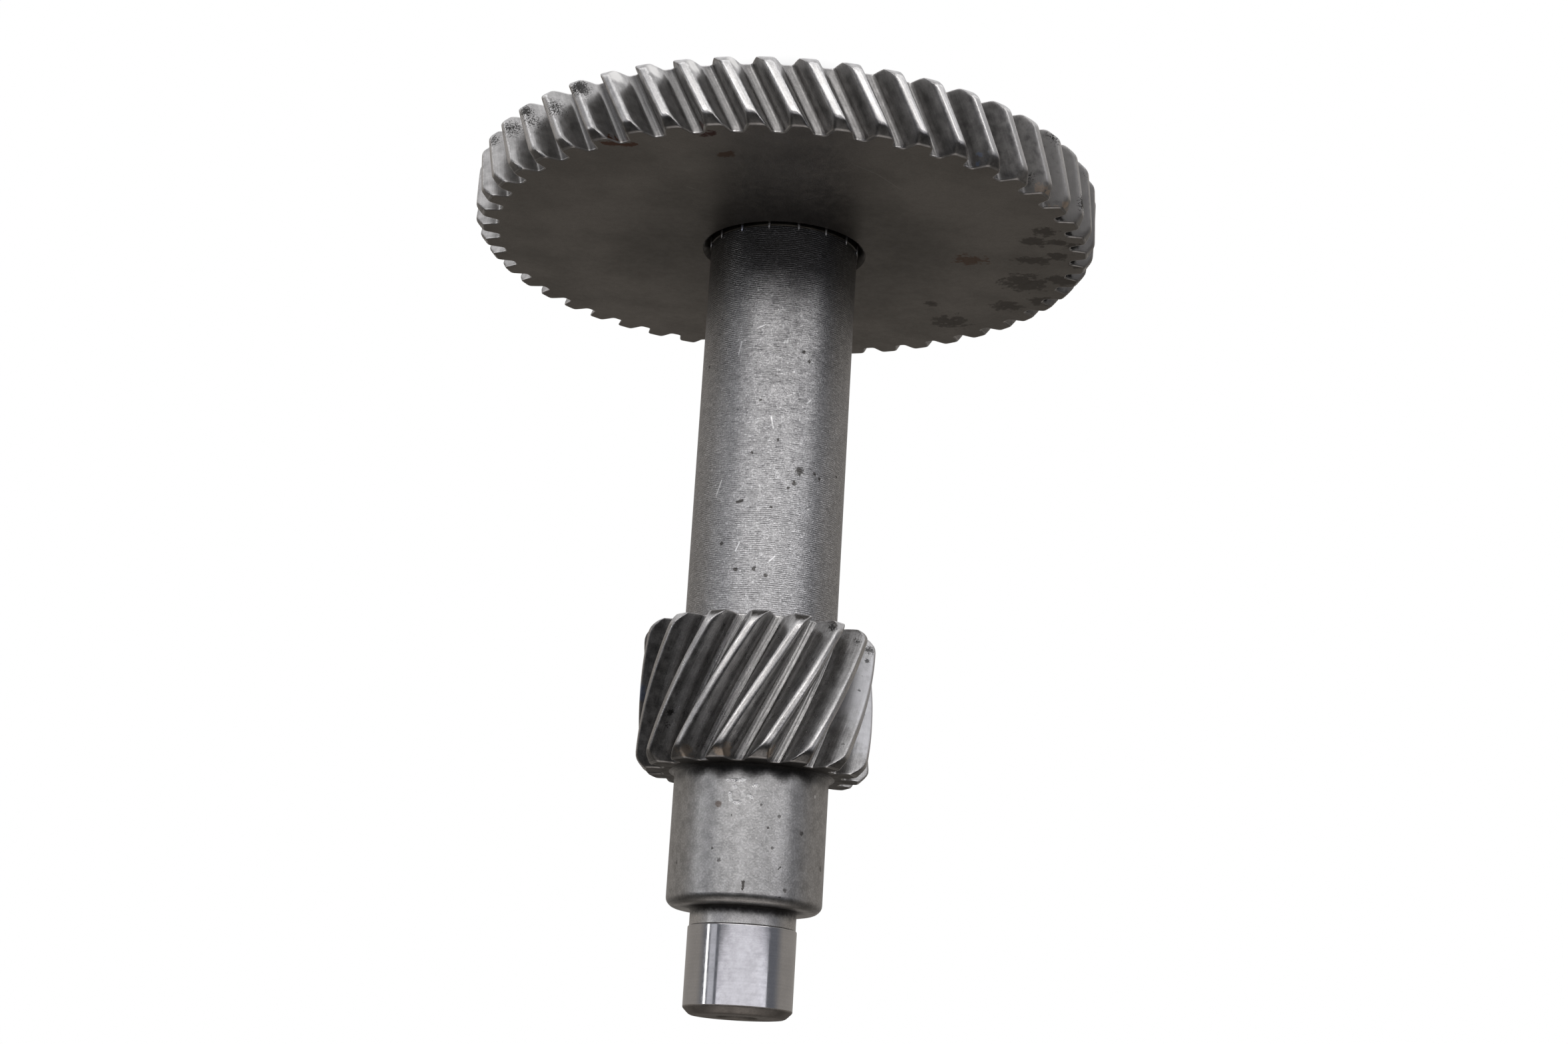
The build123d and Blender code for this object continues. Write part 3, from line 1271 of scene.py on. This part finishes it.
@dataclass(frozen=True)
class Panel:
    """Soft light that hangs round the part and faces it. Lengths are in metres.

    Attributes:
        name: the light's name.
        azimuth: angle in degrees from the -Y side, positive towards -X, the right of the picture.
        elevation: angle in degrees above the level, negative towards the floor.
        distance: how far it hangs from the point that it faces.
        width: its width.
        height: its height.
        colour: its colour.
        brightness: its brightness for each unit of area.
    """

    name: str
    azimuth: float
    elevation: float
    distance: float
    width: float
    height: float
    colour: Colour
    brightness: float

    def build(self, target: Vector) -> None:
        """Hang the light.

        Args:
            target: point that it faces.
        """
        turn, rise = math.radians(self.azimuth), math.radians(self.elevation)
        away = Vector((-math.sin(turn) * math.cos(rise), -math.cos(turn) * math.cos(rise), math.sin(rise)))
        light = bpy.data.lights.new(self.name, "AREA")
        light.shape = "RECTANGLE"
        light.size, light.size_y = self.width, self.height
        light.color = self.colour
        light.energy = self.brightness * math.pi * self.width * self.height
        lamp = bpy.data.objects.new(self.name, light)
        lamp.location = target + away * self.distance
        lamp.rotation_euler = away.to_track_quat("Z", "Y").to_euler()
        lamp.visible_camera = False
        bpy.context.scene.collection.objects.link(lamp)


@dataclass(frozen=True)
class Studio:
    """Camera, pale floor, soft panels and the dim room round them, in metres and degrees.

    Attributes:
        camera_place: the camera's place.
        camera_turn: its turn round the three axes.
        lens: its focal length in millimetres.
        floor_size: side of the floor.
        shadow_reach: how far the painted contact shadow on the floor reaches from the part.
        shadow_colour: colour of that painted shadow.
        target: point that the panels face.
        panels: the panels.
    """

    camera_place: Place = (0.0, -0.38032, 0.17988)
    camera_turn: Place = (-74.560, 3.311, -178.682)
    lens: float = 55.76
    floor_size: float = 6.0
    shadow_reach: float = 0.008
    shadow_colour: Colour = (0.45, 0.45, 0.46)
    target: Place = (0.0, 0.0, 0.08)
    panels: tuple[Panel, ...] = (
        Panel("window", 6.5, 3.8, 0.45, 1.22, 0.056, (0.94, 0.93, 1.0), 1.06),
        Panel("curtain", -61, 3.0, 0.8, 0.2, 0.16, (0.94, 0.94, 1.0), 0.5),
        Panel("left_key", -21, -19.5, 1.0, 1.1, 0.2, (1.0, 0.985, 0.985), 3.8),
        Panel("middle_key", 20, -24, 1.0, 0.4, 0.2, (1.0, 0.985, 0.985), 3.8),
        Panel("right_key", 46, -18.3, 1.0, 0.42, 0.18, (1.0, 0.985, 0.985), 3.9),
        Panel("strip", -75, -5, 0.9, 0.06, 0.3, (1.0, 1.0, 1.0), 3.6),
    )

    def camera(self) -> None:
        """Set the camera where the photograph was taken from."""
        data = bpy.data.cameras.new("camera")
        data.lens = self.lens
        camera = bpy.data.objects.new("camera", data)
        camera.location = self.camera_place
        camera.rotation_euler = Euler([math.radians(a) for a in self.camera_turn])
        bpy.context.scene.collection.objects.link(camera)
        bpy.context.scene.camera = camera

    def floor(self) -> None:
        """Lay the pale floor, which only the camera sees, so that light reaches the part from all sides."""
        start_clean()
        bpy.ops.mesh.primitive_plane_add(size=self.floor_size)
        floor = bpy.context.active_object
        floor.name = "floor"
        floor.visible_diffuse = floor.visible_glossy = floor.visible_shadow = False
        material = bpy.data.materials.new("pale_floor")
        material.use_nodes = True
        tree = Tree(material.node_tree)
        # Painted shadow: the floor's glow is darkened where the part stands close to it
        near = tree.add("AmbientOcclusion", {"Distance": self.shadow_reach}, samples=8).outputs["AO"]
        paint = tree.blend(tree.ramp(near, 0.5, 1.0), self.shadow_colour, WHITE)
        glow = tree.add("Emission", {"Color": paint, "Strength": 1.0}).outputs[0]
        tree.join(glow, tree.tree.nodes["Material Output"].inputs["Surface"])
        floor.data.materials.append(material)

    def room(self) -> None:
        """Fill the room with light: bright from the table, dim from straight above, dark between them."""
        dark, dusk = (0.03, 0.03, 0.03), (0.06, 0.056, 0.052)
        front, back = (0.15, 0.155, 0.175), (0.31, 0.29, 0.27)
        table, ceiling = (1.35, 1.35, 1.38), (0.42, 0.395, 0.38)
        world = bpy.data.worlds.new("room")
        bpy.context.scene.world = world
        world.use_nodes = True
        tree = Tree(world.node_tree)
        _, y, z = tree.add("SeparateXYZ", {0: tree.add("TexCoord").outputs["Generated"]}).outputs
        low = tree.blend(tree.ramp(y, -0.85, -0.6), dark, tree.blend(tree.ramp(y, -0.25, 0.2), front, back))
        low = tree.blend(tree.ramp(z, -0.35, -0.8), low, table)
        high = tree.blend(tree.ramp(y, -0.5, 0.3), dark, dusk)
        high = tree.blend(tree.ramp(z, 0.75, 0.99), high, ceiling)
        paint = tree.blend(tree.ramp(z, -0.08, 0.62), low, high)
        shown = tree.blend(tree.add("LightPath").outputs["Is Camera Ray"], paint, WHITE)
        tree.feed(world.node_tree.nodes["Background"], {"Color": shown, "Strength": 1.0})

    def build(self) -> None:
        """Set up the whole studio."""
        bpy.context.scene.view_settings.view_transform = "Standard"
        self.camera()
        self.floor()
        self.room()
        for panel in self.panels:
            panel.build(Vector(self.target))


def body_spot(angle: float, height: float) -> Place:
    """Point on the turned body, at an angle in degrees and a height."""
    return spot(angle, PinionShaft.body_radius, height)


def body_pits(places: tuple[Place, ...], strength: float) -> list[Mark]:
    """Pits of the turned body.

    Args:
        places: angle, height and size of each.
        strength: how dark they are.

    Returns:
        The pits.
    """
    look = {"rag": 2.0, "strength": strength, "depth": PIT_DEPTH, "flecked": True}
    return [Mark(body_spot(angle, height), size, PIT, **look) for angle, height, size in places]


def body_marks() -> tuple[Mark, ...]:
    """Pits and bright scratches of the long turned stretch between the gear and the pinion.

    Returns:
        The marks.
    """
    pits = (
        (-110, 49.7, 0.3), (-115, 51.1, 0.28), (-26, 51.2, 0.3), (-79, 58.4, 0.22), (-94, 64.9, 0.24),
        (-75, 67.2, 0.26), (-112, 69.7, 0.75), (-125, 69.6, 0.3), (-130, 70.2, 0.28), (-108, 71.8, 0.4),
        (-104, 72.7, 0.24), (-92, 76.1, 0.22), (-55, 81.9, 0.35), (-82, 86.2, 0.35), (-91, 87.2, 0.3),
        (-68, 86.3, 0.35), (-150, 68.7, 0.25),
    )
    scratches = (
        (-88, 61.2, -90, 63.0), (-51, 71.4, -47, 73.6), (-61, 48.4, -59, 50.4), (-70, 81.9, -67, 83.3),
        (-97, 84.0, -93, 84.9), (-118, 57.5, -115, 58.2), (-78, 45.8, -73, 46.2),
    )
    return (
        *body_pits(pits, 0.85),
        Mark(body_spot(-70, 75.1), 0.25, PIT, body_spot(-66, 75.3), depth=PIT_DEPTH),
        *(Mark(body_spot(angle, height), 0.12, BRIGHT, body_spot(end_angle, end_height), rag=0.8)
          for angle, height, end_angle, end_height in scratches),
    )


def neck_marks() -> tuple[Mark, ...]:
    """Pits, shiny dents and a brown stain of the neck beyond the pinion.

    Returns:
        The marks.
    """
    pits = (
        (-132, 126.8, 0.4), (-160, 131.4, 0.45), (-70, 131.9, 0.32), (-64, 130.1, 0.25),
        (-104, 126.6, 0.25), (-112, 124.7, 0.3), (-120, 135.8, 0.35), (-98, 123.2, 0.22),
        (-108, 129.6, 0.25),
    )
    dents = (
        (-73, 119.6, -79, 119.7), (-79, 119.7, -85, 119.5), (-75, 121.6, -76, 122.6),
        (-79, 123.0, -82, 123.0), (-92, 120.3, -94, 120.2), (-89, 121.9, -91, 122.1),
        (-78, 120.6, -79, 120.6),
    )
    look = {"rag": 2.5, "depth": 0.035, "strength": 0.6, "rough": -0.17, "flecked": True}
    return (
        *body_pits(pits, 0.7),
        *(Mark(body_spot(angle, height), 0.3, SHINY, body_spot(end_angle, end_height), **look)
          for angle, height, end_angle, end_height in dents),
        Mark(body_spot(-144.8, 120.7), 0.3, BRIGHT),
        Mark(body_spot(-66.8, 123.3), 0.55, BROWN, strength=0.7),
        Mark(body_spot(-88.6, 135.0), 0.22, PIT, body_spot(-88.6, 136.1), rag=3.0, depth=PIT_DEPTH,
             flecked=True),
    )


def relief_marks() -> tuple[Mark, ...]:
    """A painted bluish glint on the one bright ridge end, which shares the finish of the reliefs."""
    return (Mark(spot(-54, 12.5, 28.6), 0.7, PAINTED_GLINT, rag=0.5),)


def gear_tooth_marks() -> tuple[Mark, ...]:
    """Flecks, rust, matte film and worn patches of the gear's teeth, and painted shade in some tooth gaps.

    Each place is an angle, a radius and a height, with the mark's size after it. The middle of most black
    marks lies a little outside the metal, so that their flecks stay apart.

    Returns:
        The marks.
    """
    patches = (
        (BLACK, ((-50.4, 51.2, 18.9, 1.6), (-52.8, 51.2, 20.4, 1.0), (-45.4, 51.8, 20.3, 2.0),
                 (-38.6, 51.6, 20.2, 2.1), (-40.5, 51.4, 22.4, 1.5), (-35.8, 51.7, 19.0, 1.3),
                 (-30.2, 51.2, 19.4, 1.9), (-21.9, 51.9, 19.0, 1.4), (-137.9, 49.6, 26.6, 1.3),
                 (-142.8, 52.6, 17.9, 1.7), (-157.0, 52.2, 20.0, 1.3), (-156.0, 52.2, 25.0, 1.3),
                 (-149.5, 52.4, 22.5, 1.3))),
        (WORN, ((-57.9, 50.6, 18.3, 1.4), (-65.6, 50.6, 18.3, 1.4), (-72.9, 50.6, 18.3, 1.4),
                (-79.6, 50.6, 18.3, 1.2))),
        (RUST, ((-57.0, 49.2, 28.3, 1.0), (-100.1, 48.9, 28.3, 0.45), (-112.4, 50.0, 27.3, 0.45))),
        (DARK_RUST, ((-73.9, 49.0, 28.0, 1.1), (-72.1, 50.5, 27.6, 0.5))),
        (BLUISH, ((-124.8, 50.0, 27.8, 1.0), (-130.9, 50.0, 27.9, 1.0))),
        (WARM, ((-141.9, 50.0, 27.9, 1.2), (-149.3, 50.0, 27.9, 1.2))),
    )
    rags = {BLACK: 3.4, WORN: 0.7}
    # Painted shade: black in the roots of these tooth gaps by the upper face, where they lie in shadow
    shaded_gaps = (-153.9, -161.2, -168.6, -175.9, -183.3, -190.6, -198.0, -205.3)
    return (
        Mark(spot(-165, 50, 23), 30.0, MATTE, rag=2.0, strength=0.6, rough=0.32),
        *(Mark(spot(*place), size, colour, rag=rags.get(colour, 5.0), strength=0.92,
               flecked=colour == BLACK)
          for colour, places in patches for *place, size in places),
        *(Mark(spot(angle, 48.2, 27.9), 1.1, BLACK, rag=2.0, strength=0.9, rough=0.3) for angle in shaded_gaps),
    )


def gear_face_marks() -> tuple[Mark, ...]:
    """Stains, rust and scratches of the gear's face.

    Returns:
        The marks.
    """
    stains = (
        (-176.4, 31.2, 2.0, 0.6, RUSTY), (-175.0, 40.9, 1.5, 1.5, STAIN), (-164.2, 42.3, 1.6, 0.4, STAIN),
        (170.7, 42.1, 3.6, 0.3, STAIN), (174.4, 47.7, 2.2, 0.3, STAIN), (155.2, 43.9, 2.2, 0.3, STAIN),
        (161.6, 47.2, 1.8, 0.3, STAIN), (137.4, 41.2, 3.0, 0.3, STAIN), (143.7, 32.8, 1.1, 0.1, STAIN),
        (-167.4, 48.2, 1.2, 0.1, STAIN), (-176.7, 48.6, 1.2, 0.1, STAIN), (-158.7, 44.8, 1.6, 0.3, STAIN),
        (-165.1, 46.1, 1.2, 0.4, STAIN), (-172.3, 45.7, 1.6, 0.3, STAIN), (-57.0, 47.8, 1.0, 1.6, RUST),
        (-74.5, 47.6, 0.9, 1.0, DARK_RUST), (-76.0, 40.0, 1.0, 0.4, RUSTY),
    )
    scratches = (
        (-104, 39.3, -111.4, 37.3), (-111.4, 37.3, -120.4, 34.4), (-144.8, 37.0, -142.2, 40.6),
        (-96, 23.0, -101, 25.5), (-60, 28.0, -58, 30.0),
    )
    face = LargeGear.top
    found = []
    for angle, radius, size, reach, colour in stains:
        middle, across = Vector(spot(angle, radius, face)), Vector((reach, 0, 0))
        start, end = tuple(middle - across), tuple(middle + across)
        found.append(Mark(start, size, colour, end, rag=3.5, strength=0.88))
    for angle, radius, end_angle, end_radius in scratches:
        start, end = spot(angle, radius, face), spot(end_angle, end_radius, face)
        found.append(Mark(start, 0.09, WORN, end, rag=1.2, strength=0.35))
    return tuple(found)


def pinion_marks() -> tuple[Mark, ...]:
    """Matte film, chips and bluish and warm patches of the pinion's teeth.

    Each place is an angle, a radius and a height, with the mark's size after it.

    Returns:
        The marks.
    """
    patches = (
        (BLACK, ((-127.6, 17.9, 95.0, 0.8), (-147.6, 18.0, 95.8, 0.8), (-171.0, 17.8, 95.8, 0.9),
                 (-152.9, 18.0, 100.6, 0.4), (-153.7, 18.0, 102.4, 0.35), (-152.1, 18.0, 104.8, 0.4),
                 (-165.2, 18.0, 109.6, 0.4), (-163.4, 18.0, 111.3, 0.35), (-141.7, 17.6, 113.2, 0.4),
                 (-41.9, 17.6, 109.7, 0.5), (-40.6, 17.6, 111.8, 0.6), (-160.0, 17.5, 99.0, 0.3),
                 (-163.0, 17.0, 101.0, 0.35), (-158.0, 17.2, 103.5, 0.3), (-168.0, 17.5, 98.0, 0.4),
                 (-172.0, 17.5, 100.5, 0.3), (-170.0, 17.0, 103.0, 0.35), (-174.0, 17.2, 106.0, 0.4),
                 (-169.0, 17.5, 108.0, 0.3), (-176.0, 17.5, 110.5, 0.35), (-150.0, 17.0, 97.5, 0.5),
                 (-146.0, 17.5, 108.5, 0.3), (-155.0, 17.2, 112.5, 0.4), (-36.0, 17.5, 104.0, 0.5),
                 (-33.0, 17.2, 100.0, 0.4))),
        (BLUISH, ((-18.1, 18.0, 114.5, 1.6), (-2.7, 18.2, 104.3, 1.6))),
        (WARM, ((-53.3, 17.3, 116.1, 1.2), (-75.3, 17.3, 116.1, 1.3), (-100.2, 17.3, 116.1, 1.2),
                (-122.3, 17.3, 116.1, 1.2))),
    )
    return (
        Mark(spot(-172, 17.5, 105.5), 8.5, FROSTED, rag=0.8, strength=0.65, rough=0.25),
        *(Mark(spot(*place), size, colour, rag=2.6, strength=0.8, flecked=colour == BLACK)
          for colour, places in patches for *place, size in places),
    )


def build_finishes() -> dict[str, bpy.types.Material]:
    """Build the finishes of the part's surfaces.

    Returns:
        The materials by place.
    """
    shaft, gear = PinionShaft(), LargeGear()
    upper_shoulder = shaft.total_length - shaft.journal_length - shaft.relief_width
    finishes = {
        # Painted shade: the body darkens towards the gear's face, where the gear's shadow and dark
        # reflection lie
        "body": SteelFinish(
            "turned_body", (0.42, 0.417, 0.42), (0.37, 0.367, 0.37), 0.36, roughness_spread=0.03,
            line_depth=0.011, streak_depth=0.046, grain_depth=0.03, contrast=0.42, painted_highlight=0.4,
            pit_share=0.15, pit_size=0.2, corner=(shaft.body_radius, gear.top), corner_reach=11.0,
            corner_strength=0.62, marks=body_marks(),
        ),
        # Painted shadow: the neck darkens under the pinion, one lobe for each tooth's shadow, on the
        # camera's side only
        "neck": SteelFinish(
            "blasted_neck", (0.51, 0.505, 0.5), (0.4, 0.395, 0.39), 0.38, roughness_spread=0.03,
            grain_size=0.3, grain_depth=0.02, contrast=0.12, painted_highlight=0.1, mottle_size=1.5, pit_share=0.35,
            pit_spacing=2.6, pit_size=0.18, corner=(shaft.body_radius, shaft.pinion_top), corner_reach=1.7,
            corner_lobe=0.4, corner_rough=0.3, corner_spread=1.5, marks=neck_marks(),
        ),
        "journal": SteelFinish(
            "ground_journal", (0.64, 0.635, 0.64), (0.6, 0.595, 0.6), 0.12, roughness_spread=0.03,
            line_pitch=0.16, line_depth=0.0001, streak_width=0.3, streak_length=9.0, streak_depth=0.0006,
            contrast=0.06, mottle_size=3.0,
        ),
        # Painted shade and dirt: the groove darkens towards the upper shoulder
        "relief": SteelFinish(
            "relief_groove", (0.66, 0.65, 0.64), (0.54, 0.53, 0.52), 0.34, grain_depth=0.015, contrast=0.15,
            corner=(shaft.relief_radius, upper_shoulder), corner_reach=1.1, corner_rough=0.3,
            corner_spread=2.0, marks=relief_marks(),
        ),
        "end": SteelFinish(
            "shaft_end", (0.44, 0.41, 0.38), (0.35, 0.325, 0.3), 0.5, grain_depth=0.01, contrast=0.1,
        ),
        "fit": SteelFinish(
            "oiled_fit", (0.1, 0.095, 0.085), (0.06, 0.055, 0.05), 0.4, grain_depth=0.01, contrast=0.15,
        ),
        "edge": SteelFinish("worn_edge", (0.62, 0.61, 0.6), (0.45, 0.44, 0.43), 0.34, contrast=0.1),
        "pinion_tooth": ToothFinish(
            "pinion_teeth", (0.38, 0.374, 0.37), (0.29, 0.285, 0.28), 0.32, grain_depth=0.008,
            contrast=0.15, land_colour=(0.52, 0.51, 0.5), form=shaft.form, marks=pinion_marks(),
        ),
        # Painted shade: the pinion's end faces are painted dark, for the shade that falls on them beside
        # the neck
        "shaded_pinion_face": SteelFinish(
            "shaded_pinion_face", (0.17, 0.16, 0.15), (0.12, 0.11, 0.1), 0.45, grain_depth=0.01, contrast=0.2,
        ),
        "gear_tooth": ToothFinish(
            "gear_teeth", (0.36, 0.352, 0.346), (0.25, 0.245, 0.24), 0.34, grain_depth=0.008, contrast=0.09,
            root_colour=(0.22, 0.215, 0.21), score_depth=0.004, hob_depth=0.002, form=gear.form,
            marks=gear_tooth_marks(),
        ),
        # Painted shade: the face darkens round the bore, where the shaft's dark reflection lies
        "gear_face": SteelFinish(
            "gear_face", (0.41, 0.385, 0.355), (0.32, 0.3, 0.275), 0.42, along=Along.RADIUS,
            line_depth=0.001, grain_depth=0.006, contrast=0.06, mottle_size=12.0,
            corner=(gear.bore_radius, gear.top), corner_reach=14.0, corner_strength=0.34,
            marks=gear_face_marks(),
        ),
    }
    return {place: finish.material() for place, finish in finishes.items()}


def main() -> None:
    """Build the part, its finishes and its studio."""
    logging.basicConfig(level=logging.INFO)
    Studio().build()
    Effects().build()
    steels = build_finishes()
    for piece, node, slot in (*PinionShaft().build(steels), *LargeGear().build(steels)):
        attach(piece, "root")
        if node:
            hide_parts(node)
        LOG.info("%s: %d faces", piece.name, len(piece.data.polygons))


if __name__ == "__main__":
    main()
